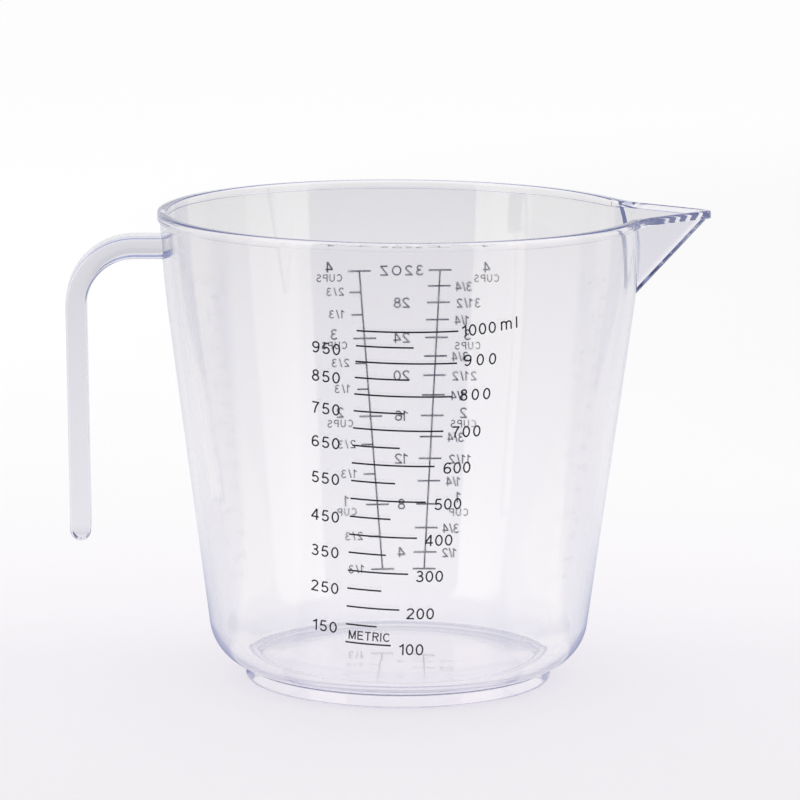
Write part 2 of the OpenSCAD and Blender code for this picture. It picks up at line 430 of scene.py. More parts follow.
@dataclass
class Spout:
    """Radii of the spout's surfaces about the cup's axis, for any direction and height."""

    cup: CupSizes
    sizes: SpoutSizes = field(default_factory=SpoutSizes)

    def __post_init__(self) -> None:
        """Works out where the keel and the lip's point lie."""
        s = self.sizes
        self.plan_half = math.radians(s.half_angle)
        self.keel = math.radians(s.keel_angle)
        self.trough_half = math.atan(math.tan(self.plan_half) / math.sin(self.keel))
        self.reach = self.cup.bead_r + s.out
        fold_x = self.reach + s.tip_r * (1 / math.sin(self.plan_half) - 1)
        self.keel_top = (fold_x - s.lip_out / math.sin(self.plan_half), self.cup.height - s.lip_h)

    @staticmethod
    def _rounded_v(across: np.ndarray, up: np.ndarray, half: float, fold: float,
                   radius: float) -> np.ndarray:
        """Signed distance outside a V with a round fold.

        Args:
            across: Distance from the V's middle plane.
            up: Distance along the V's middle, towards its open side.
            half: Half of the V's angle.
            fold: Place of the fold's centre along the middle.
            radius: Radius of the fold.

        Returns:
            Distances, negative inside the V.
        """
        side, up = np.abs(across), up - fold
        beside = side * math.cos(half) - up * math.sin(half)
        over = side * math.sin(half) + up * math.cos(half) > 0
        return np.where(over, beside, np.hypot(side, up)) - radius

    def _reach_of(self, inside: Callable[[np.ndarray], np.ndarray], shape: tuple[int, ...]) -> np.ndarray:
        """Radius at which a ray out of the axis leaves a V, found by halving.

        Args:
            inside: Signed distance for an array of radii.
            shape: Shape of the result.

        Returns:
            Radii in millimetres.
        """
        low, high = np.zeros(shape), np.full(shape, self.sizes.farthest)
        for _ in range(self.sizes.halvings):
            middle = (low + high) / 2
            out = inside(middle) > 0
            low, high = np.where(out, low, middle), np.where(out, middle, high)
        return low

    def trough(self, turn: np.ndarray, z: np.ndarray, inset: float) -> np.ndarray:
        """Radius of one of the trough's surfaces.

        Args:
            turn: Directions about the cup's axis, in radians.
            z: Heights.
            inset: 0 for the outside, or the wall's thickness for the inside.

        Returns:
            Radii in millimetres, 0 where the spout doesn't reach.
        """
        radius = self.sizes.keel_r if inset == 0 else self.sizes.keel_in_r
        fold = (radius + inset) / math.sin(self.trough_half)

        def inside(rho: np.ndarray) -> np.ndarray:
            """Signed distance outside the trough for points at radius rho."""
            x, y = rho * np.cos(turn) - self.keel_top[0], rho * np.sin(turn)
            up = -x * math.sin(self.keel) + (z - self.keel_top[1]) * math.cos(self.keel)
            return self._rounded_v(y, up, self.trough_half, fold, radius)

        return self._ahead(turn, self._reach_of(inside, np.broadcast(turn, z).shape))

    def lip(self, turn: np.ndarray) -> np.ndarray:
        """Radius of the upright lip's outer face.

        Args:
            turn: Directions about the cup's axis, in radians.

        Returns:
            Radii in millimetres, 0 where the lip doesn't reach.
        """

        def inside(rho: np.ndarray) -> np.ndarray:
            """Signed distance outside the lip's plan for points at radius rho."""
            up, tip_r = self.reach - rho * np.cos(turn), self.sizes.tip_r
            return self._rounded_v(rho * np.sin(turn), up, self.plan_half, tip_r, tip_r)

        return self._ahead(turn, self._reach_of(inside, turn.shape))

    def _ahead(self, turn: np.ndarray, radii: np.ndarray) -> np.ndarray:
        """Keeps the radii on the spout's side of the cup and drops the rest."""
        return np.where(np.abs(turn) < math.radians(self.sizes.widest), radii, 0)

    def near(self, turn: np.ndarray) -> np.ndarray:
        """Finds which directions belong to the spout.

        Args:
            turn: Directions about the cup's axis, in radians.

        Returns:
            Share from 0 on the plain rim to 1 on the spout.
        """
        s = self.sizes
        t = np.clip((math.radians(s.ledge_from) - np.abs(turn)) / math.radians(s.ledge_blend), 0, 1)
        return t * t * (3 - 2 * t)


@dataclass
class Shell:
    """The cup's floor, foot, wall, bead and spout, as one closed skin about the axis."""

    cup: CupSizes
    spout: Spout
    row_mm: float = 0.4
    plain_rows: int = 8
    fine_from: float = 101.0
    edge_points: int = 6
    # Rows of the bead's upright face, as shares of its height.
    face_shares: tuple[float, float] = (0.4, 0.7)
    # Columns, in degrees from the spout's middle: close on its tip, wider on its sides, widest elsewhere.
    tip_to: float = 2.0
    tip_step: float = 0.125
    side_to: float = 25.0
    side_step: float = 0.44
    rest_columns: int = 101
    # One column on each side runs up the crease between wall and trough, which keeps the crease crisp.
    crease_steps: int = 28
    least_crease: float = 1.2
    most_crease: float = 40.0
    last_bent: float = 60.0
    halvings: int = 30

    def _creases(self, z: np.ndarray, inset: float) -> np.ndarray:
        """Finds the directions in which the wall meets the spout's trough.

        Args:
            z: Heights.
            inset: 0 for the outside, or the wall's thickness for the inside.

        Returns:
            The direction at each height in degrees, and a least one below the spout.
        """
        low, high = np.full(z.shape, self.least_crease), np.full(z.shape, self.most_crease)
        for _ in range(self.halvings):
            middle = (low + high) / 2
            out = self.spout.trough(np.radians(middle), z, inset) > self.cup.outer_r(z) - inset
            low, high = np.where(out, middle, low), np.where(out, high, middle)
        return low

    def turns(self, crease: float) -> np.ndarray:
        """Directions of the skin's columns, close together at the spout's tip and wide elsewhere.

        Args:
            crease: Direction in degrees that one column on each side takes.

        Returns:
            The directions in radians, from one side of the back round to the other.
        """
        tip = np.arange(0, self.tip_to, self.tip_step)
        sides = np.arange(self.tip_to, self.side_to, self.side_step)
        rest = np.linspace(self.side_to, 180, self.rest_columns)
        even = np.concatenate([tip, sides, rest])
        column = self.tip_to + self.crease_steps * self.side_step
        bent = np.interp(even, [0, column, self.last_bent, 180], [0, crease, self.last_bent, 180])
        half = np.radians(bent)
        return np.concatenate([-half[:0:-1], half[:-1]])

    def _ring(self, z: float, inset: float) -> np.ndarray:
        """Directions of the columns at one height, with the crease followed."""
        return self.turns(float(self._creases(np.array([z]), inset)[0]))

    def _foot(self) -> list[Point]:
        """Draws the profile of the underside.

        Returns:
            Radius and height, from near the axis out over the foot ring and up to the straight wall.
        """
        c, s = self.cup, self.cup.small_r
        inside_r, arc_r = c.foot_r - c.foot_ring, c.corner_r
        centre_z = c.foot_h + arc_r
        centre_r = c.base_r + c.taper * centre_z - arc_r / math.cos(c.lean)
        start = -math.acos((c.foot_r + s - centre_r) / arc_r)
        meet_z = centre_z - math.sqrt(arc_r ** 2 - (c.foot_r - centre_r) ** 2)
        arc = c.corner(c.base_r, c.foot_h, arc_r, start)
        return [(inside_r / 3, c.foot_h), (inside_r * 2 / 3, c.foot_h),
                *eased((inside_r - s, c.foot_h), (inside_r, c.foot_h), (inside_r, c.foot_h - s)),
                *eased((inside_r, s), (inside_r, 0), (inside_r + s, 0)),
                *eased((c.foot_r - s, 0), (c.foot_r, 0), (c.foot_r, s)),
                *eased((c.foot_r, meet_z - s), (c.foot_r, meet_z), arc[0])[:-1], *arc]

    def _floor(self) -> list[Point]:
        """Draws the profile of the inside.

        Returns:
            Radius and height, from the end of the straight wall down to near the axis.
        """
        c = self.cup
        floor_z = c.foot_h + c.floor
        arc = c.corner(c.base_r - c.wall, floor_z, c.corner_r - c.wall, -math.pi / 2)
        return [*arc[::-1], (arc[0][0] * 2 / 3, floor_z), (arc[0][0] / 3, floor_z)]

    def _heights(self, low: float, high: float) -> np.ndarray:
        """Spaces the rows up the wall: few on the plain cone, many beside the spout.

        Args:
            low: Height of the row before the first.
            high: Height of the row after the last.

        Returns:
            The heights between.
        """
        plain = np.linspace(low, self.fine_from, self.plain_rows)[1:]
        fine = np.arange(self.fine_from + self.row_mm, high - self.row_mm / 2, self.row_mm)
        return np.concatenate([plain, fine])

    def wall_outside(self, turn: np.ndarray, z: np.ndarray) -> np.ndarray:
        """Radius of the outside below the bead, spout included."""
        return np.maximum(self.cup.outer_r(z), self.spout.trough(turn, z, 0))

    def wall_inside(self, turn: np.ndarray, z: np.ndarray) -> np.ndarray:
        """Radius of the inside, spout included."""
        trough = self.spout.trough(turn, z, self.spout.sizes.wall)
        return np.maximum(self.cup.outer_r(z) - self.cup.wall, trough)

    def bead_outside(self, turn: np.ndarray) -> np.ndarray:
        """Radius of the bead, which runs on as the spout's lip."""
        bead = np.full(turn.shape, self.cup.bead_r)
        return smooth_max(bead, self.spout.lip(turn), self.spout.sizes.lip_fillet)

    def _bead(self) -> list[Row]:
        """Draws the bead and the lip.

        Returns:
            Rows from the ledge up, over the rim and down to the start of the inside.
        """
        c, s, top = self.cup, self.cup.small_r / 2, self.cup.height
        turn = self._ring(top - c.bead_h, 0)
        ledge = top - c.bead_h - (self.spout.sizes.lip_h - c.bead_h) * self.spout.near(turn)
        wall, bead = self.wall_outside(turn, ledge), self.bead_outside(turn)
        rows = [(turn, wall, ledge)]
        rows += [(turn, bead + dr, ledge + dz) for dr, dz in eased((-s, 0), (0, 0), (0, s), 3)]
        rows += [(turn, bead, ledge + (top - c.edge_r - ledge) * share) for share in self.face_shares]
        quarter = np.radians(np.linspace(0, 90, self.edge_points))
        for a in quarter:
            z = np.full(turn.shape, top - c.edge_r * (1 - math.sin(a)))
            rows.append((turn, bead - c.edge_r * (1 - math.cos(a)), z))
        for a in quarter[::-1]:
            z = np.full(turn.shape, top - c.edge_r * (1 - math.sin(a)))
            turn = self._ring(z[0], c.wall)
            rows.append((turn, self.wall_inside(turn, z) + c.edge_r * (1 - math.cos(a)), z))
        return rows

    def _flat_rows(self, profile: Sequence[Point]) -> list[Row]:
        """Rows of a plain round profile."""
        turn = self.turns(self.least_crease)
        return [(turn, np.full(turn.shape, r), np.full(turn.shape, z)) for r, z in profile]

    def _wall_rows(self, heights: np.ndarray, inside: bool) -> list[Row]:
        """Rows along the wall, whose columns follow the spout's crease.

        Args:
            heights: Heights of the rows.
            inside: True for the wall's inside.

        Returns:
            One row for each height.
        """
        surface, inset = (self.wall_inside, self.cup.wall) if inside else (self.wall_outside, 0)
        rows = []
        for z in heights:
            turn = self._ring(z, inset)
            level = np.full(turn.shape, z)
            rows.append((turn, surface(turn, level), level))
        return rows

    def build(self) -> bpy.types.Object:
        """Builds the whole skin.

        Returns:
            A closed mesh object named shell.
        """
        foot, floor, top = self._foot(), self._floor(), self.cup.height
        level = self._flat_rows(foot)
        level += self._wall_rows(self._heights(foot[-1][1], top - self.cup.bead_h), False)
        level += self._bead()
        level += self._wall_rows(self._heights(floor[0][1], top - self.cup.edge_r)[::-1], True)
        level += self._flat_rows(floor)
        points = [np.stack([r * np.cos(turn), r * np.sin(turn), z], axis=1) for turn, r, z in level]
        columns, rows = len(points[0]), len(level)
        ends = np.array([[0, 0, foot[0][1]], [0, 0, floor[-1][1]]])
        under, over, base = rows * columns, rows * columns + 1, (rows - 1) * columns
        faces = grid_faces(rows, columns)
        faces += [(under, (j + 1) % columns, j) for j in range(columns)]
        faces += [(over, base + j, base + (j + 1) % columns) for j in range(columns)]
        return mesh_piece("shell", np.concatenate([*points, ends]), faces)


@dataclass(frozen=True)
class Station:
    """One place along the handle's bar: its middle, its heading in radians, and how far its end closed."""

    x: float
    z: float
    heading: float
    squeeze: float = 1.0
    narrow: float = 0.0


@dataclass
class Handle:
    """The open hook handle: arm, bend and leg of one rounded bar."""

    cup: CupSizes
    drop: float = 7.2
    out: float = 25.3
    thick: float = 5.8
    width: float = 13.0
    edge_r: float = 0.8
    bend_r: float = 16.1
    lean: float = 0.9
    tip_z: float = 39.4
    sunk: float = 1.0
    # Rows along the arm, bend and leg, and points round the bar's edges and across its wide faces.
    arm_rows: int = 5
    bend_rows: int = 40
    leg_rows: int = 12
    edge_points: int = 8
    flat_shares: tuple[float, ...] = (0.4, 0, -0.4)
    # The round end closes the thickness almost to nothing and the width by a share of the edges.
    end_turn: float = 87.0
    end_narrow: float = 0.6

    def _section(self, squeeze: float, narrow: float) -> np.ndarray:
        """Points round the bar: thickness across the bend, then width.

        Args:
            squeeze: Share of the thickness that is left, for the round end.
            narrow: How much the width gives up at each side, for the round end.

        Returns:
            Array of thickness and width offsets.
        """
        half_t, half_w = self.thick / 2, self.width / 2 - narrow
        points = []
        for corner, (t_way, w_way) in enumerate(((1, 1), (-1, 1), (-1, -1), (1, -1))):
            for step in np.linspace(0, 90, self.edge_points):
                a = math.radians(corner * 90 + step)
                points.append((t_way * (half_t - self.edge_r) + self.edge_r * math.cos(a),
                               w_way * (half_w - self.edge_r) + self.edge_r * math.sin(a)))
            # The thin faces get one more point, in their middle, and the wide ones three.
            if t_way == w_way:
                points.append((0.0, w_way * half_w))
            else:
                points += [(t_way * half_t, w_way * half_w * share) for share in self.flat_shares]
        return np.array(points) * [squeeze, 1]

    def _stations(self) -> list[Station]:
        """Follows the bar.

        Returns:
            Places from its root in the wall to its round end.
        """
        arm_z = self.cup.height - self.drop - self.thick / 2
        bend_x = -(self.cup.bead_r + self.out - self.thick / 2 - self.bend_r)
        bend_z = arm_z - self.bend_r
        root_x = -(float(self.cup.outer_r(arm_z)) - self.sunk)
        places = [Station(x, arm_z, 0.0) for x in np.linspace(root_x, bend_x, self.arm_rows)[:-1]]
        for a in np.linspace(0, math.radians(90 + self.lean), self.bend_rows):
            places.append(Station(bend_x - self.bend_r * math.sin(a), bend_z + self.bend_r * math.cos(a), a))
        x, z, heading = places[-1].x, places[-1].z, places[-1].heading
        way = np.array([-math.cos(heading), -math.sin(heading)])
        length = (z - self.tip_z) / math.sin(heading) - self.thick / 2
        for d in np.linspace(0, length, self.leg_rows)[1:]:
            places.append(Station(x + way[0] * d, z + way[1] * d, heading))
        for a in np.radians(np.linspace(0, self.end_turn, self.leg_rows))[1:]:
            d = length + self.thick / 2 * math.sin(a)
            narrow = self.edge_r * (1 - math.cos(a)) * self.end_narrow
            places.append(Station(x + way[0] * d, z + way[1] * d, heading, math.cos(a), narrow))
        return places

    def build(self) -> bpy.types.Object:
        """Builds the bar with its root sunk a little into the wall.

        Returns:
            A closed mesh object named bar.
        """
        points, places = [], self._stations()
        for place in places:
            across = np.array([-math.sin(place.heading), math.cos(place.heading)])
            section = self._section(place.squeeze, place.narrow)
            points.append(np.stack([place.x + across[0] * section[:, 0], section[:, 1],
                                    place.z + across[1] * section[:, 0]], axis=1))
        columns, rows = len(points[0]), len(places)
        faces = grid_faces(rows, columns)
        faces.append(tuple(range(columns))[::-1])
        faces.append(tuple(range((rows - 1) * columns, rows * columns)))
        return mesh_piece("bar", np.concatenate(points), faces)


@dataclass
class Moulding:
    """The one clear moulding, kept as three pieces that meet in faces which nothing shows."""

    cup: CupSizes
    shell: Shell
    handle: Handle
    plastic: ClearStyrene = field(default_factory=ClearStyrene)
    # The pieces part this far off the wall, with a slit between them that is too thin to see.
    skin: float = 0.03
    slit: float = 0.02
    # Reach to each side of the spout and the handle, in degrees, and the height where the handle's starts.
    spout_spread: float = 32.0
    handle_spread: float = 12.0
    handle_low: float = 20.0
    # The zones run out to this radius and this far over the rim, in so many columns and rows this far apart.
    beyond: float = 130.0
    above: float = 4.0
    zone_columns: int = 120
    zone_row: float = 1.0
    # Edges that turn by more degrees than this stay crisp.
    crisp: float = 24.0

    def __post_init__(self) -> None:
        """Makes the plastic, and a marker for the faces where two pieces meet."""
        self.clear = self.plastic.moulded()
        self.marker = bpy.data.materials.new("seam_marker")

    def _zone(self, name: str, middle: float, spread: float, low: float, lift: float) -> bpy.types.Object:
        """Makes the space outside the wall and bead, for a range of directions.

        Args:
            name: Name of the temporary object.
            middle: Middle direction, in degrees.
            spread: Reach to each side, in degrees.
            low: Height of its lower end.
            lift: How far its inner face stands off the wall.

        Returns:
            A closed mesh object.
        """
        c, top = self.cup, self.cup.height + self.above
        turn = np.radians(np.linspace(middle - spread, middle + spread, self.zone_columns))
        ledge = c.height - c.bead_h - lift
        eased_part = np.arange(c.height - c.ease_h, ledge - self.zone_row / 2, self.zone_row)
        heights = np.concatenate([[low], eased_part])
        rows = [(float(c.outer_r(z)) + lift, z) for z in heights]
        rows += [(float(c.outer_r(ledge)) + lift, ledge), (c.bead_r + lift, ledge), (c.bead_r + lift, top),
                 (self.beyond, top), (self.beyond, low)]
        points = np.array([[r * math.cos(a), r * math.sin(a), z] for a in turn for r, z in rows])
        count = len(rows)
        faces = grid_faces(len(turn), count)
        faces += [tuple(range(count))[::-1], tuple(range((len(turn) - 1) * count, len(turn) * count))]
        zone = mesh_piece(name, points, faces)
        zone.data.polygons.foreach_set("material_index", [1] * len(zone.data.polygons))
        for material in (self.clear, self.marker):
            zone.data.materials.append(material)
        return zone

    @staticmethod
    def _cut(piece: bpy.types.Object, other: bpy.types.Object, operation: str) -> None:
        """Applies one boolean to a piece.

        Args:
            piece: The piece.
            other: The object that it is joined with or cut by.
            operation: Blender's name of the boolean.
        """
        step = piece.modifiers.new("cut", "BOOLEAN")
        step.operation, step.solver, step.object = operation, "MANIFOLD", other
        graph = bpy.context.evaluated_depsgraph_get()
        mesh = bpy.data.meshes.new_from_object(piece.evaluated_get(graph), depsgraph=graph)
        piece.modifiers.clear()
        piece.data = mesh

    @staticmethod
    def _copy(piece: bpy.types.Object, name: str) -> bpy.types.Object:
        """Copies a piece.

        Args:
            piece: The piece.
            name: Name of the copy.

        Returns:
            The linked copy.
        """
        twin = bpy.data.objects.new(name, piece.data.copy())
        bpy.context.scene.collection.objects.link(twin)
        return twin

    def _finish(self, piece: bpy.types.Object, name: str, node: str) -> bpy.types.Object:
        """Smooths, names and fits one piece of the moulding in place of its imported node.

        Args:
            piece: The piece.
            name: Its name.
            node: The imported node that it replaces.

        Returns:
            The same piece.
        """
        piece.name = piece.data.name = name
        mesh = piece.data
        meeting = np.empty(len(mesh.polygons), np.int32)
        mesh.polygons.foreach_get("material_index", meeting)
        mesh.attributes.new(MEETING, "FLOAT", "FACE").data.foreach_set("value", meeting.astype(np.float32))
        mesh.polygons.foreach_set("material_index", np.zeros_like(meeting))
        mesh.materials.pop(index=1)
        mesh.shade_smooth()
        mesh.set_sharp_from_angle(angle=math.radians(self.crisp))
        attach(piece, BODY)
        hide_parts(node)
        log.info("%s: %d faces", name, len(mesh.polygons))
        return piece

    def build(self) -> list[bpy.types.Object]:
        """Builds the moulding and parts it into cup, spout and handle.

        Returns:
            The three pieces.
        """
        whole, bar = self.shell.build(), self.handle.build()
        for piece in (whole, bar):
            piece.data.materials.append(self.clear)
            piece.data.materials.append(self.marker)
        self._cut(whole, bar, "UNION")
        spout, handle = self._copy(whole, "spout_piece"), self._copy(whole, "handle_piece")
        spout_low = self.cup.height - self.cup.ease_h
        spare = [bar]
        for piece, middle, spread, low in ((spout, 0.0, self.spout_spread, spout_low),
                                           (handle, 180.0, self.handle_spread, self.handle_low)):
            near = self._zone("zone_near", middle, spread, low, self.skin)
            far = self._zone("zone_far", middle, spread, low, self.skin + self.slit)
            self._cut(whole, near, "DIFFERENCE")
            self._cut(piece, far, "INTERSECT")
            spare += [near, far]
        for thing in spare:
            bpy.data.objects.remove(thing)
        pieces = [self._finish(whole, "cup_shell", "cup_body"),
                  self._finish(spout, "spout_fold", "pouring_spout"),
                  self._finish(handle, "hook_handle", "handle")]
        bpy.data.materials.remove(self.marker)
        return pieces


def bow(middle: Point, radii: Point, start: float, end: float, steps: int = 16) -> list[Point]:
    """Points along an ellipse.

    Args:
        middle: Its middle.
        radii: Its half width and half height.
        start: Angle at which it starts, in degrees from the right.
        end: Angle at which it ends.
        steps: Number of steps.

    Returns:
        The points, both ends included.
    """
    turns = np.radians(np.linspace(start, end, steps + 1))
    return [(middle[0] + radii[0] * math.cos(a), middle[1] + radii[1] * math.sin(a)) for a in turns]


@dataclass(frozen=True)
class Glyph:
    """One character: its width and the middle lines of its strokes, with capitals one unit high."""

    width: float
    strokes: tuple[list[Point], ...]


def grotesque(h: float = 0.055) -> dict[str, Glyph]:
    """Draws the plain upright face of the print.

    Args:
        h: Half of a stroke's width.

    Returns:
        Its characters by name.
    """
    top, bar = 1 - h, [(0.07, 0.0), (0.07, 1.0)]
    six = (bow((0.36, 0.47), (0.30, 0.47), 50, 190), bow((0.33, 0.31), (0.27, 0.31 - h), 0, 360))
    bowl = [(0.07, top), (0.38, top), *bow((0.38, 0.725), (0.24, 0.275 - h), 80, -80),
            (0.38, 0.51), (0.07, 0.51)]
    hump = [*bow((0.28, 0.5), (0.22, 0.22), 180, 0), (0.5, 0.0)]
    return {
        "0": Glyph(0.66, (bow((0.33, 0.5), (0.33 - h, 0.5 - h), 0, 360, 28),)),
        "1": Glyph(0.42, ([(0.36, 0.0), (0.36, 1.0)], [(0.36, 0.95), (0.24, 0.82), (0.05, 0.74)])),
        "2": Glyph(0.66, ([*bow((0.32, 0.71), (0.26, 0.29 - h), 165, -35), (0.22, 0.24), (0.06, h)],
                          [(0.0, h), (0.65, h)])),
        "3": Glyph(0.64, (bow((0.31, 0.745), (0.225, 0.2), 155, -90),
                          bow((0.32, 0.29), (0.275, 0.235), 90, -155), [(0.22, 0.535), (0.34, 0.535)])),
        "4": Glyph(0.68, ([(0.5, 0.0), (0.5, 1.0)], [(0.48, 0.97), (0.05, 0.3)],
                          [(0.0, 0.285), (0.68, 0.285)])),
        "5": Glyph(0.64, ([(0.58, top), (0.14, top)], [(0.17, top), (0.09, 0.49)],
                          bow((0.32, 0.315), (0.275, 0.26), 145, -155))),
        "6": Glyph(0.66, six),
        "7": Glyph(0.66, ([(0.03, top), (0.64, top)],
                          [(0.61, 0.95), (0.42, 0.66), (0.31, 0.36), (0.26, 0.0)])),
        "8": Glyph(0.64, (bow((0.32, 0.745), (0.215, 0.2), 0, 360),
                          bow((0.32, 0.29), (0.265, 0.235), 0, 360))),
        "9": Glyph(0.66, tuple([(0.66 - x, 1 - y) for x, y in stroke] for stroke in six)),
        "/": Glyph(0.36, ([(0.03, -0.02), (0.33, 1.02)],)),
        "m": Glyph(1.0, ([(0.06, 0.0), (0.06, 0.76)], hump, [(x + 0.44, y) for x, y in hump])),
        "l": Glyph(0.12, ([(0.06, 0.0), (0.06, 1.0)],)),
        "O": Glyph(0.84, (bow((0.42, 0.5), (0.42 - h, 0.5 - h), 0, 360, 28),)),
        "Z": Glyph(0.72, ([(0.05, top), (0.68, top)], [(0.66, 0.95), (0.05, 0.05)], [(0.02, h), (0.7, h)])),
        "C": Glyph(0.76, (bow((0.4, 0.5), (0.4 - h, 0.5 - h), 42, 318, 22),)),
        "U": Glyph(0.72, ([(0.06, 1.0), *bow((0.36, 0.36), (0.3, 0.36 - h), 180, 360), (0.66, 1.0)],)),
        "P": Glyph(0.66, (bar, bowl)),
        "S": Glyph(0.66, (bow((0.33, 0.74), (0.24, 0.205), 25, 270),
                          bow((0.33, 0.295), (0.27, 0.24), 90, -160))),
        "M": Glyph(0.8, (bar, [(0.09, 0.95), (0.4, 0.05)], [(0.4, 0.05), (0.71, 0.95)],
                         [(x + 0.66, y) for x, y in bar])),
        "E": Glyph(0.64, (bar, [(0.07, top), (0.62, top)], [(0.07, 0.52), (0.58, 0.52)],
                          [(0.07, h), (0.64, h)])),
        "T": Glyph(0.66, ([(0.0, top), (0.66, top)], [(0.33, 0.0), (0.33, top)])),
        "R": Glyph(0.68, (bar, bowl, [(0.36, 0.5), (0.63, 0.0)])),
        "I": Glyph(0.12, ([(0.06, 0.0), (0.06, 1.0)],)),
    }


@dataclass(frozen=True)
class Lettering:
    """Size of one kind of text: height of its capitals, width share, gap between characters and stroke."""

    capital: float
    stretch: float
    gap: float
    line: float


@dataclass(frozen=True)
class Label:
    """One printed word or figure: its text, middle on the flat artwork, lettering and own turn."""

    text: str
    across: float
    up: float
    style: Lettering
    turn: float = 0.0


@dataclass(frozen=True)
class Scale:
    """One printed scale: its values, its margins along the wall, and how its steps close up to the rim."""

    first: float
    last: float
    foot: float
    head: float
    close_up: float
    power: int

    def up(self, value: float, wall_l: float) -> float:
        """Finds the place of a value, no lower than the first.

        Args:
            value: Value on the scale.
            wall_l: Length of the wall from table to rim, in millimetres.

        Returns:
            Distance up the wall, in millimetres.
        """
        share = (value - self.first) / (self.last - self.first)
        bunched = (1 + self.close_up) * share - self.close_up * share ** self.power
        return self.foot + max(0.0, (wall_l - self.head - self.foot) * bunched)


@dataclass(frozen=True)
class Track:
    """One rail of the cup scales: its side, its steps to a cup, and how far off its figures stand."""

    side: int
    parts: int
    fraction: Lettering
    part_off: float
    whole_off: float
    top_off: float
    first_up: float
    top_line: float


@dataclass
class Print:
    """Printed scales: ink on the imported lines, and the figures beside them."""

    cup: CupSizes
    ink: ScreenInk = field(default_factory=ScreenInk)
    # The figures' ink lies this far off the wall, clear of the skin's facets, and is this thick.
    lift: float = 0.05
    ink_t: float = 0.06
    # A stroke's outer corners reach out to this many half widths at most.
    sharpest: float = 1.5
    metric: Scale = Scale(first=100, last=1000, foot=20.6, head=24.1, close_up=0.055, power=4)
    metric_x: float = -16.8
    metric_turn: float = -1.5
    cups: Scale = Scale(first=1 / 3, last=4, foot=18.9, head=26.6, close_up=0.24, power=2)
    tracks_x: float = -3.7
    tracks_turn: float = -0.8
    gap_foot: float = 12.5
    gap_head: float = 24.2
    # Metric figures: the half steps stand in one column, the hundreds move right as their lines grow.
    left_x: float = -22.8
    right_x: float = 1.1
    right_growth: float = 0.0236
    right_last: float = 18.8
    right_gap: float = 0.56
    gap_growth: float = 0.0028
    gap_from: float = 600.0
    ounce_x: float = -3.1
    # The top label climbs to the right, as the 1000 ml line does: text, place across, rise and gap.
    top_label: tuple[tuple[str, float, float, float], ...] = (
        ("1000", 18.3, 0.1, 0.65), ("ml", 27.0, 0.8, 1.3))
    top_turn: float = 4.0
    heading_at: Point = (-10.26, 22.68)
    # Whole cups stand a little over their tick's height and the word below it.
    whole_up: float = 1.0
    word_down: float = 2.2
    mixed_off: float = 9.3
    # How far each metric figure sits below its own line, from the lowest figure up.
    left_drop: tuple[float, ...] = (1.54, 0.63, 0.68, 0.78, 0.25, 0.09, 0.30, 0.65, 1.57)
    right_drop: tuple[float, ...] = (0.97, 0.97, 0.59, 0.63, 0.6, 0.5, 0.25, -0.5, -1.05)
    figure: Lettering = Lettering(3.2, 1.0, 0.8, 0.42)
    heading: Lettering = Lettering(2.5, 1.0, 0.43, 0.34)
    ounce: Lettering = Lettering(3.0, 1.13, 0.4, 0.42)
    ounce_top: Lettering = Lettering(3.0, 1.17, 1.0, 0.42)
    whole: Lettering = Lettering(3.1, 1.08, 0.4, 0.42)
    word: Lettering = Lettering(2.2, 1.0, 0.6, 0.3)
    quarter: Lettering = Lettering(2.7, 1.0, 0.3, 0.38)
    mixed: Lettering = Lettering(2.7, 1.0, 0.6, 0.38)
    third: Lettering = Lettering(2.4, 1.0, 0.7, 0.32)

    def __post_init__(self) -> None:
        """Makes the ink."""
        self.black = self.ink.material()

    @property
    def cone_l(self) -> float:
        """Length along the wall from the cone's point to the table."""
        return self.cup.base_r / math.sin(self.cup.lean)

    @property
    def wall_l(self) -> float:
        """Length along the wall from the table to the rim."""
        return self.cup.height / math.cos(self.cup.lean)

    def wrap(self, flat: np.ndarray, side: Side) -> np.ndarray:
        """Lays flat artwork on the wall.

        Args:
            flat: Array of distance to the right of the centre line, distance up the wall, and ink depth.
            side: Front or back of the cup.

        Returns:
            Array of x, y, z in millimetres.
        """
        u, v, depth = flat.T
        away = np.hypot(u, self.cone_l + v)
        turn = np.arctan2(u, self.cone_l + v) / math.sin(self.cup.lean) + side.value
        z = (away - self.cone_l) * math.cos(self.cup.lean)
        r = self.cup.outer_r(z) + self.lift + depth
        return np.stack([r * np.sin(turn), -r * np.cos(turn), z], axis=1)

    def _ribbon(self, line: np.ndarray, half: float) -> tuple[np.ndarray, list[tuple[int, ...]]]:
        """Makes one stroke of ink as a thin closed ribbon.

        Args:
            line: Points of its middle line; a ring if it ends where it starts.
            half: Half of its width.

        Returns:
            Points with their ink depth, and faces.
        """
        ring = bool(np.allclose(line[0], line[-1]))
        line = line[:-1] if ring else line
        after, before = np.roll(line, -1, 0) - line, line - np.roll(line, 1, 0)
        if not ring:
            after[-1], before[0] = before[-1], after[0]
        after /= np.linalg.norm(after, axis=1)[:, None]
        before /= np.linalg.norm(before, axis=1)[:, None]
        mean = after + before
        mean /= np.linalg.norm(mean, axis=1)[:, None]
        reach = np.minimum(self.sharpest, 1 / np.maximum(0.1, np.sum(mean * after, axis=1)))
        side = np.stack([-mean[:, 1], mean[:, 0]], axis=1) * (half * reach)[:, None]
        rows = [np.column_stack([line + way * side, np.full(len(line), depth)])
                for way, depth in ((1, 0), (-1, 0), (-1, self.ink_t), (1, self.ink_t))]
        points = np.stack(rows, axis=1).reshape(-1, 3)
        faces = grid_faces(len(line), 4)
        last = 4 * (len(line) - 1)
        if ring:
            faces += [(last + j, last + (j + 1) % 4, (j + 1) % 4, j) for j in range(4)]
        else:
            faces += [(3, 2, 1, 0), (last, last + 1, last + 2, last + 3)]
        return points, [face[::-1] for face in faces]

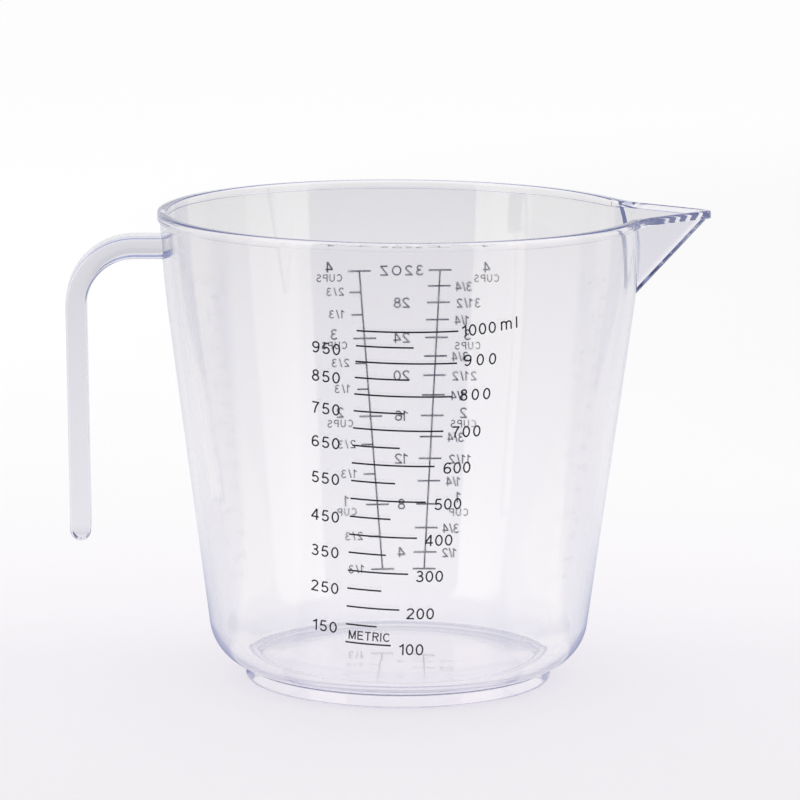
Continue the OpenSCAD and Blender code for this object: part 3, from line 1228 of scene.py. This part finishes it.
    def _flat_mesh(self, label: Label, tilt: float) -> tuple[np.ndarray, list[tuple[int, ...]]]:
        """Turns one label into thin flat ink.

        Args:
            label: The label.
            tilt: Turn of the artwork, in degrees.

        Returns:
            Its points on the flat artwork, in millimetres, and its faces.
        """
        style = label.style
        face = grotesque(style.line / style.capital / 2)
        glyphs = [face[sign] for sign in label.text]
        wide = style.capital * style.stretch
        start = -(sum(g.width for g in glyphs) * wide + style.gap * (len(glyphs) - 1)) / 2
        points, faces, count = [], [], 0
        for glyph in glyphs:
            for stroke in glyph.strokes:
                line = np.array(stroke) * [wide, style.capital] + [start, -style.capital / 2]
                own, own_faces = self._ribbon(line, style.line / 2)
                points.append(own)
                faces += [tuple(i + count for i in f) for f in own_faces]
                count += len(own)
            start += glyph.width * wide + style.gap
        flat = np.concatenate(points)
        a = math.radians(tilt + label.turn)
        across = label.across + flat[:, 0] * math.cos(a) - flat[:, 1] * math.sin(a)
        up = label.up + flat[:, 0] * math.sin(a) + flat[:, 1] * math.cos(a)
        return np.column_stack([across, up, flat[:, 2]]), faces

    def figures(self, name: str, labels: Sequence[Label], side: Side, tilt: float) -> bpy.types.Object:
        """Prints one group of labels.

        Args:
            name: Name of the piece.
            labels: The labels of the group.
            side: Side of the wall.
            tilt: Turn of the artwork, in degrees.

        Returns:
            One mesh of closed ink shapes.
        """
        points, faces, count = [], [], 0
        for label in labels:
            flat, own = self._flat_mesh(label, tilt)
            points.append(self.wrap(flat, side))
            faces += [tuple(i + count for i in f) for f in own]
            count += len(flat)
        piece = mesh_piece(name, np.concatenate(points), faces)
        piece.data.materials.append(self.black)
        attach(piece, BODY)
        log.info("%s: %d labels", name, len(labels))
        return piece

    def metric_up(self, ml: float) -> float:
        """Distance up the wall of a metric line at its left end."""
        return self.metric.up(ml, self.wall_l)

    def cup_up(self, cups: float) -> float:
        """Distance up the wall of a tick of the cup tracks, on the line between the tracks."""
        return self.cups.up(cups, self.wall_l)

    def rail_across(self, cups: float, side: int) -> float:
        """Finds a rail of the cup tracks at a tick.

        Args:
            cups: The tick's value.
            side: 1 for the track on the right, -1 for the one on the left.

        Returns:
            Distance from the back's centre line.
        """
        up = self.cup_up(cups) - self.cups.foot
        share = up / (self.cup_up(self.cups.last) - self.cups.foot)
        gap = self.gap_foot + (self.gap_head - self.gap_foot) * share
        return self.tracks_x + side * gap / 2 - up * math.sin(math.radians(self.tracks_turn))

    def _metric(self) -> list[Label]:
        """Writes the figures of the metric scale.

        Returns:
            Half steps on the left, even hundreds after their lines, the top label and the heading.
        """
        fall = math.sin(math.radians(-self.metric_turn))
        labels = []
        for drop, ml in zip(self.left_drop, range(150, 1000, 100)):
            up = self.metric_up(ml) + (self.metric_x - self.left_x) * fall - drop
            labels.append(Label(str(ml), self.left_x, up, self.figure))
        for drop, ml in zip(self.right_drop, range(100, 1000, 100)):
            across = min(self.right_last, self.right_x + self.right_growth * (ml - self.metric.first))
            up = self.metric_up(ml) - (across - self.metric_x) * fall - drop
            gap = self.right_gap + self.gap_growth * max(0, ml - self.gap_from)
            labels.append(Label(str(ml), across, up, replace(self.figure, gap=gap)))
        for text, across, rise, gap in self.top_label:
            style = replace(self.figure, gap=gap)
            labels.append(Label(text, across, self.metric_up(self.metric.last) + rise, style, self.top_turn))
        return [*labels, Label("METRIC", *self.heading_at, self.heading)]

    def _ounces(self) -> list[Label]:
        """Writes the figures of the ounce scale between the two cup tracks.

        Returns:
            One label for each half cup.
        """
        labels = [Label(str(OUNCES_PER_CUP * halves // 2), self.ounce_x, self.cup_up(halves / 2), self.ounce)
                  for halves in range(1, 8)]
        return [*labels, Label("32OZ", self.ounce_x, self.cup_up(self.cups.last), self.ounce_top)]

    def _whole_cups(self, track: Track, whole: int) -> list[Label]:
        """Writes a whole number of cups, over the word.

        Args:
            track: The track.
            whole: Number of cups.

        Returns:
            The figure and the word.
        """
        up, top = self.cup_up(whole), whole == self.cups.last
        away = self.rail_across(whole, track.side) + track.side * (track.top_off if top else track.whole_off)
        rise = track.first_up if whole == 1 else self.whole_up
        style = replace(self.whole, line=track.top_line) if top else self.whole
        word = "CUPS" if whole > 1 else "CUP"
        return [Label(str(whole), away, up + rise, style), Label(word, away, up - self.word_down, self.word)]

    def _cups(self, track: Track) -> list[Label]:
        """Writes the figures of one cup track.

        Args:
            track: The track.

        Returns:
            Whole cups over the word, and the fractions between.
        """
        labels = []
        for step in range(1, int(self.cups.last) * track.parts + 1):
            whole, part = divmod(step, track.parts)
            cups = step / track.parts
            up, rail = self.cup_up(cups), self.rail_across(cups, track.side)
            is_half = 2 * part == track.parts
            if part == 0:
                labels += self._whole_cups(track, whole)
            elif is_half and whole:
                labels.append(Label(f"{whole}1/2", rail + track.side * self.mixed_off, up, self.mixed))
            elif cups > LEAST_CUPS:
                text = "1/2" if is_half else f"{part}/{track.parts}"
                labels.append(Label(text, rail + track.side * track.part_off, up, track.fraction))
        return labels

    def dress(self, nodes: dict[str, bpy.types.Object]) -> None:
        """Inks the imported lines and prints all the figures.

        Args:
            nodes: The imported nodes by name.
        """
        for name in ("metric_lines", "thirds_track", "quarters_track"):
            mesh = nodes[name].data
            mesh.materials.clear()
            mesh.materials.append(self.black)
            log.info("%s: inked", name)
        thirds = Track(side=1, parts=3, fraction=self.third, part_off=7.9, whole_off=9.3, top_off=9.3,
                       first_up=self.whole_up, top_line=0.5)
        quarters = Track(side=-1, parts=4, fraction=self.quarter, part_off=7.5, whole_off=9.6, top_off=14.5,
                         first_up=2.2, top_line=self.whole.line)
        self.figures("metric_figures", self._metric(), Side.FRONT, self.metric_turn)
        self.figures("ounce_figures", self._ounces(), Side.BACK, self.tracks_turn)
        self.figures("thirds_figures", self._cups(thirds), Side.BACK, self.tracks_turn)
        self.figures("quarters_figures", self._cups(quarters), Side.BACK, self.tracks_turn)


@dataclass(frozen=True)
class Card:
    """One upright card: its direction and half angle in degrees, and its distance and heights in mm.

    The direction is 0 straight towards the camera and grows to the right.
    """

    name: str
    turn: float
    half: float
    reach: float
    low: float
    high: float


@dataclass
class Studio:
    """Pale floor, soft light and the camera. Nothing here is part of the cup."""

    # Distance behind the cup's axis in metres, and the paper's colour there: painted light, paler to the
    # back.
    paper: tuple[tuple[float, str], ...] = ((-0.13, "#EEECEF"), (0.02, "#F1EFF2"), (0.08, "#F5F3F6"),
                                            (0.25, "#F9F8F9"), (0.70, "#FEFEFE"))
    # A painted shade darkens the sweep's right side round this place in metres, as if it stood a little
    # farther from the light.
    dusk_at: tuple[float, float, float] = (0.45, 0.8, 0.0)
    dusk_from: float = 0.25
    dusk_to: float = 0.6
    dusk_share: float = 0.95
    # The paper's fibres gather in clouds this wide, which show as a faint mottle.
    cloud_mm: float = 50 / 3
    cloud_share: float = 0.995
    # Through the plastic the sweep is painted darker with distance, from the cup's foot to behind its rim: a
    # painted shade.
    behind: tuple[float, float, float] = (0.985, 0.98, 0.985)
    behind_from: float = 0.05
    behind_to: float = 1.05
    foot_share: float = 1.0
    rim_share: float = 0.80
    # It is also painted a little darker left of the cup's middle.
    left_from: float = -0.042
    left_to: float = -0.015
    left_share: float = 0.96
    # In what the plastic mirrors, light lies on the floor between these turns in degrees, 0 being straight
    # behind the cup, and close to its front within these distances in metres.
    pool_far: tuple[float, float] = (88.0, 96.0)
    pool_near: tuple[float, float] = (134.0, 128.0)
    middle: tuple[float, float] = (128.0, 146.0)
    close_by: tuple[float, float] = (0.24, 0.09)
    back: tuple[float, float] = (0.0, 0.2)
    back_light: float = 0.8
    room: str = "#D3D7EA"
    room_light: float = 0.985
    shade: str = "#7C86B6"
    roof: str = "#A4ADD8"
    strip: str = "#98A0C0"
    white: str = "#FFFFFF"
    backdrop: str = "#F6F6F8"
    softbox: float = 1.4
    softboxes: tuple[Card, ...] = (Card("softbox_left", -54.8, 15.8, 1100, 10, 900),
                                   Card("softbox_right", 68.0, 19.0, 1100, 10, 900))
    flag_front: Card = Card("flag_front", 0, 62, 2500, 0, 3000)
    strips: tuple[Card, ...] = (Card("strip_left", -150, 11, 1000, 5, 700),
                                Card("strip_right", 150, 11, 1000, 5, 700))
    back_card: Card = Card("backdrop", 180, 62, 2300, 5, 1150)
    strip_high: Card = Card("strip_high", 180, 60, 2280, 1150, 1400)
    roof_z: float = 1500.0
    roof_half: float = 1900.0
    floor_half: float = 6000.0
    # The floor lies a hair under the cup, so that the two never share a face.
    floor_z: float = -0.02
    lamp_at: tuple[float, float, float] = (-0.3, -0.2, 1.4)
    lamp_size: tuple[float, float] = (1.6, 1.2)
    lamp_watts: float = 1.5
    camera_at: tuple[float, float, float] = (-55.06, -1261.11, 299.73)
    heading: float = -2.5
    pitch: float = 9.963
    roll: float = 0.386
    lens: float = 206.68
    sensor: float = 36.0
    view_end: float = 40.0
    # Light runs a long way along the rim and the lip before it comes out.
    bounces: int = 32

    @staticmethod
    def _card(name: str, centre: Vector, across: Vector, up: Vector) -> bpy.types.Object:
        """Makes a flat card of the studio.

        Args:
            name: Name of the card.
            centre: Its middle, in millimetres.
            across: Half of one edge.
            up: Half of the other edge.

        Returns:
            The card, kept out of the part.
        """
        corners = [centre - across - up, centre + across - up, centre + across + up, centre - across + up]
        card = mesh_piece(name, np.array([list(c) for c in corners]), [(0, 1, 2, 3)])
        return card

    def _sweep(self, tree: bpy.types.NodeTree, place: bpy.types.NodeSocket,
               along: bpy.types.NodeSocket) -> bpy.types.NodeSocket:
        """Adds the paper's colour with painted light: paler to the back, and darker on the right as painted
        shade.

        Args:
            tree: Tree of the floor's material.
            place: Object coordinates.
            along: Their Y.

        Returns:
            Socket with the colour.
        """
        stops = [(where, linear(code)) for where, code in self.paper]
        first, last = stops[0][0], stops[-1][0]
        share = add_node(tree, "ShaderNodeMapRange", {"From Min": first, "From Max": last}, {"Value": along})
        paper = add_node(tree, "ShaderNodeValToRGB", None, {0: share.outputs[0]})
        ramp = paper.color_ramp
        ramp.elements[0].color, ramp.elements[1].color = stops[0][1], stops[-1][1]
        for where, colour in stops[1:-1]:
            ramp.elements.new((where - first) / (last - first)).color = colour
        off = add_node(tree, "ShaderNodeVectorMath", {"operation": "DISTANCE", 1: self.dusk_at}, {0: place})
        dusk = add_node(tree, "ShaderNodeMapRange",
                        {"From Min": self.dusk_from, "From Max": self.dusk_to, "To Min": self.dusk_share},
                        {"Value": off.outputs["Value"]})
        clouds = add_node(tree, "ShaderNodeTexNoise", {"Scale": 1 / (self.cloud_mm * MM), "Detail": 3.0},
                          {"Vector": place})
        mottle = add_node(tree, "ShaderNodeMapRange", {"To Min": self.cloud_share},
                          {"Value": clouds.outputs["Fac"]})
        return self._dimmed(tree, self._dimmed(tree, paper.outputs[0], dusk.outputs[0]), mottle.outputs[0])

    def _seen_through(self, tree: bpy.types.NodeTree, along: bpy.types.NodeSocket,
                      across: bpy.types.NodeSocket) -> bpy.types.NodeSocket:
        """Adds the sweep's colour through the plastic, with painted shade: darker with distance and left of
        the middle.

        Args:
            tree: Tree of the floor's material.
            along: Y of the object coordinates.
            across: Their X.

        Returns:
            Socket with the colour.
        """
        fall = add_node(tree, "ShaderNodeMapRange",
                        {"From Min": self.behind_from, "From Max": self.behind_to, "To Min": self.foot_share,
                         "To Max": self.rim_share}, {"Value": along})
        behind = add_node(tree, "ShaderNodeVectorMath", {"operation": "SCALE", 0: self.behind},
                          {"Scale": fall.outputs[0]})
        leftward = self._step(tree, across, (self.left_from, self.left_to), self.left_share)
        return self._dimmed(tree, behind.outputs[0], leftward)

    def _floor_material(self) -> bpy.types.Material:
        """Makes the floor.

        Returns:
            A sweep of matt white paper, with painted reflections and painted shade in and through the
            plastic.
        """
        material, tree = new_material("paper_white_matt")
        place = add_node(tree, "ShaderNodeTexCoord").outputs["Object"]
        split = add_node(tree, "ShaderNodeSeparateXYZ", None, {0: place})
        across, along = split.outputs["X"], split.outputs["Y"]
        paper, behind = self._sweep(tree, place, along), self._seen_through(tree, along, across)
        # Painted reflection: in what the plastic mirrors, the floor is painted shade, with pools of painted
        # light.
        mirrored = add_node(tree, "ShaderNodeMix", {"data_type": "RGBA", 6: linear(self.shade)},
                            {0: self._pools(tree, place, along), 7: paper})
        path = add_node(tree, "ShaderNodeLightPath")
        seen = add_node(tree, "ShaderNodeMix", {"data_type": "RGBA"},
                        {0: path.outputs["Is Glossy Ray"], 6: paper, 7: mirrored.outputs[2]})
        seen = add_node(tree, "ShaderNodeMix", {"data_type": "RGBA"},
                        {0: path.outputs["Is Transmission Ray"], 6: seen.outputs[2], 7: behind})
        matt = add_node(tree, "ShaderNodeBsdfDiffuse", None, {"Color": seen.outputs[2]})
        add_node(tree, "ShaderNodeOutputMaterial", None, {"Surface": matt.outputs[0]})
        return material

    def _pools(self, tree: bpy.types.NodeTree, place: bpy.types.NodeSocket,
               along: bpy.types.NodeSocket) -> bpy.types.NodeSocket:
        """Adds the floor's brightness in reflections: pools of light before the cup, and dark between.

        Args:
            tree: Tree of the floor's material.
            place: Object coordinates.
            along: Their Y.

        Returns:
            Socket with the brightness.
        """
        flat = add_node(tree, "ShaderNodeVectorMath", {"operation": "MULTIPLY", 1: (1.0, 1.0, 0.0)},
                        {0: place})
        away = add_node(tree, "ShaderNodeVectorMath", {"operation": "LENGTH"}, {0: flat.outputs[0]})
        across = add_node(tree, "ShaderNodeSeparateXYZ", None, {0: flat.outputs[0]}).outputs["X"]
        turn = add_node(tree, "ShaderNodeMath", {"operation": "ARCTAN2"}, {0: across, 1: along})
        turn = add_node(tree, "ShaderNodeMath", {"operation": "ABSOLUTE"}, {0: turn.outputs[0]}).outputs[0]
        pool = self._both(tree, "MULTIPLY", self._edge(tree, turn, self.pool_far),
                          self._edge(tree, turn, self.pool_near))
        close = self._step(tree, away.outputs["Value"], self.close_by)
        front = self._both(tree, "MULTIPLY", close, self._edge(tree, turn, self.middle))
        light = self._both(tree, "MAXIMUM", pool, front)
        return self._both(tree, "MAXIMUM", light, self._step(tree, along, self.back, 0.0, self.back_light))

    @staticmethod
    def _dimmed(tree: bpy.types.NodeTree, colour: bpy.types.NodeSocket,
                share: bpy.types.NodeSocket) -> bpy.types.NodeSocket:
        """Scales a colour."""
        return add_node(tree, "ShaderNodeVectorMath", {"operation": "SCALE"},
                        {0: colour, "Scale": share}).outputs[0]

    @staticmethod
    def _step(tree: bpy.types.NodeTree, value: bpy.types.NodeSocket, span: Point, low: float = 0.0,
              high: float = 1.0) -> bpy.types.NodeSocket:
        """Adds a soft step.

        Args:
            tree: Tree of the material.
            value: What the step follows.
            span: Values at which it starts and ends.
            low: Its start.
            high: Its end.

        Returns:
            Socket with the step.
        """
        return add_node(tree, "ShaderNodeMapRange",
                        {"interpolation_type": "SMOOTHSTEP", "From Min": span[0], "From Max": span[1],
                         "To Min": low, "To Max": high}, {"Value": value}).outputs[0]

    @staticmethod
    def _both(tree: bpy.types.NodeTree, operation: str, a: bpy.types.NodeSocket,
              b: bpy.types.NodeSocket) -> bpy.types.NodeSocket:
        """Joins two values with one operation."""
        return add_node(tree, "ShaderNodeMath", {"operation": operation}, {0: a, 1: b}).outputs[0]

    def _edge(self, tree: bpy.types.NodeTree, turn: bpy.types.NodeSocket,
              span: Point) -> bpy.types.NodeSocket:
        """Adds a soft step from 0 at one turn to 1 at another, in degrees."""
        return self._step(tree, turn, (math.radians(span[0]), math.radians(span[1])))

    @staticmethod
    def _glowing(name: str, colour: str, strength: float = 1.0) -> bpy.types.Material:
        """Makes a material that is lit from within.

        Args:
            name: Name of the material.
            colour: Its colour.
            strength: Its brightness.

        Returns:
            The material.
        """
        material, tree = new_material(name)
        glow = add_node(tree, "ShaderNodeEmission", {"Color": linear(colour), "Strength": strength})
        add_node(tree, "ShaderNodeOutputMaterial", None, {"Surface": glow.outputs[0]})
        return material

    @staticmethod
    def _hidden(card: bpy.types.Object, material: bpy.types.Material, mirrored: bool = True) -> None:
        """Dresses a card and lets only the plastic find it.

        Args:
            card: The card.
            material: Its material.
            mirrored: False if only light that went through the plastic may meet it.
        """
        card.data.materials.append(material)
        card.visible_camera = card.visible_diffuse = False
        card.visible_shadow = card.visible_volume_scatter = False
        card.visible_glossy = mirrored

    def floor(self) -> None:
        """Lays the floor."""
        floor = self._card("floor", Vector((0, 0, self.floor_z)), Vector((self.floor_half, 0, 0)),
                           Vector((0, self.floor_half, 0)))
        floor.data.materials.append(self._floor_material())

    def world(self) -> None:
        """Lights the room evenly, but dark in what the plastic mirrors and cool in what it passes."""
        world = bpy.data.worlds.new("even_room")
        bpy.context.scene.world = world
        world.use_nodes = True
        tree = world.node_tree
        tree.nodes.clear()
        path = add_node(tree, "ShaderNodeLightPath")
        even = add_node(tree, "ShaderNodeBackground",
                        {"Color": linear(self.white), "Strength": self.room_light})
        mirrored = add_node(tree, "ShaderNodeBackground", {"Color": linear(self.shade), "Strength": 1.0})
        through = add_node(tree, "ShaderNodeBackground", {"Color": linear(self.room), "Strength": 1.0})
        glossy = add_node(tree, "ShaderNodeMixShader", None,
                          {0: path.outputs["Is Glossy Ray"], 1: even.outputs[0], 2: mirrored.outputs[0]})
        passed = add_node(tree, "ShaderNodeMixShader", None,
                          {0: path.outputs["Is Transmission Ray"], 1: glossy.outputs[0],
                           2: through.outputs[0]})
        add_node(tree, "ShaderNodeOutputWorld", None, {"Surface": passed.outputs[0]})

    def _standing(self, card: Card) -> bpy.types.Object:
        """Stands a card upright, facing the cup.

        Args:
            card: Where it stands, and its size.

        Returns:
            The card as an object.
        """
        middle = math.radians(-90 + self.heading + card.turn)
        out = Vector((math.cos(middle), math.sin(middle), 0))
        return self._card(card.name, out * card.reach + Vector((0, 0, (card.low + card.high) / 2)),
                          Vector((-out.y, out.x, 0)) * card.reach * math.tan(math.radians(card.half)),
                          Vector((0, 0, (card.high - card.low) / 2)))

    def cards(self) -> None:
        """Stands the soft boxes and the dark cards round the cup, where only the plastic finds them."""
        lamp = self._glowing("softbox_cloth", self.white, self.softbox)
        dark = self._glowing("flag_blue_grey", self.shade)
        strip = self._glowing("strip_grey", self.strip)
        roof = self._glowing("roof_pale", self.roof)
        for card in self.softboxes:
            self._hidden(self._standing(card), lamp)
        self._hidden(self._standing(self.flag_front), dark)
        for card in self.strips:
            self._hidden(self._standing(card), strip, mirrored=False)
        self._hidden(self._standing(self.back_card), self._glowing("backdrop_white", self.backdrop))
        self._hidden(self._standing(self.strip_high), strip)
        over = self._card("roof", Vector((0, 0, self.roof_z)), Vector((self.roof_half, 0, 0)),
                          Vector((0, self.roof_half, 0)))
        self._hidden(over, roof)

    def lamp(self) -> None:
        """Hangs one wide soft lamp over the cup, too weak to change how its colours read."""
        light = bpy.data.lights.new("soft_lamp", "AREA")
        light.shape, light.energy = "RECTANGLE", self.lamp_watts
        light.size, light.size_y = self.lamp_size
        lamp = bpy.data.objects.new("soft_lamp", light)
        lamp.location = self.lamp_at
        lamp.visible_glossy = lamp.visible_transmission = False
        bpy.context.scene.collection.objects.link(lamp)

    def camera(self) -> None:
        """Sets the camera where the photograph was taken from."""
        data = bpy.data.cameras.new("camera")
        data.lens, data.sensor_width, data.clip_end = self.lens, self.sensor, self.view_end
        camera = bpy.data.objects.new("camera", data)
        bpy.context.scene.collection.objects.link(camera)
        turn = Matrix.Rotation(math.radians(self.heading), 3, "Z")
        p, roll = math.radians(self.pitch), math.radians(self.roll)
        forward = turn @ Vector((0, math.cos(p), -math.sin(p)))
        right = turn @ Vector((1, 0, 0))
        up = right.cross(forward)
        right, up = (right * math.cos(roll) + up * math.sin(roll),
                     up * math.cos(roll) - right * math.sin(roll))
        axes = Matrix((right, up, -forward)).transposed().to_4x4()
        camera.matrix_world = Matrix.Translation(Vector(self.camera_at) * MM) @ axes
        bpy.context.scene.camera = camera

    def build(self) -> None:
        """Sets up the whole studio."""
        scene = bpy.context.scene
        scene.view_settings.view_transform = "Standard"
        cycles = scene.cycles
        cycles.max_bounces = cycles.transmission_bounces = cycles.glossy_bounces = self.bounces
        cycles.transparent_max_bounces = self.bounces
        self.camera()
        self.floor()
        self.world()
        self.cards()
        self.lamp()
        log.info("studio: floor, cards, lamp and camera")


def main() -> None:
    """Loads the frame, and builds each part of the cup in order."""
    logging.basicConfig(level=logging.INFO, format="%(name)s: %(message)s")
    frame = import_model()
    Studio().build()
    cup = CupSizes.from_frame()
    Moulding(cup, Shell(cup, Spout(cup)), Handle(cup)).build()
    Print(cup).dress(frame["nodes"])


if __name__ == "__main__":
    main()
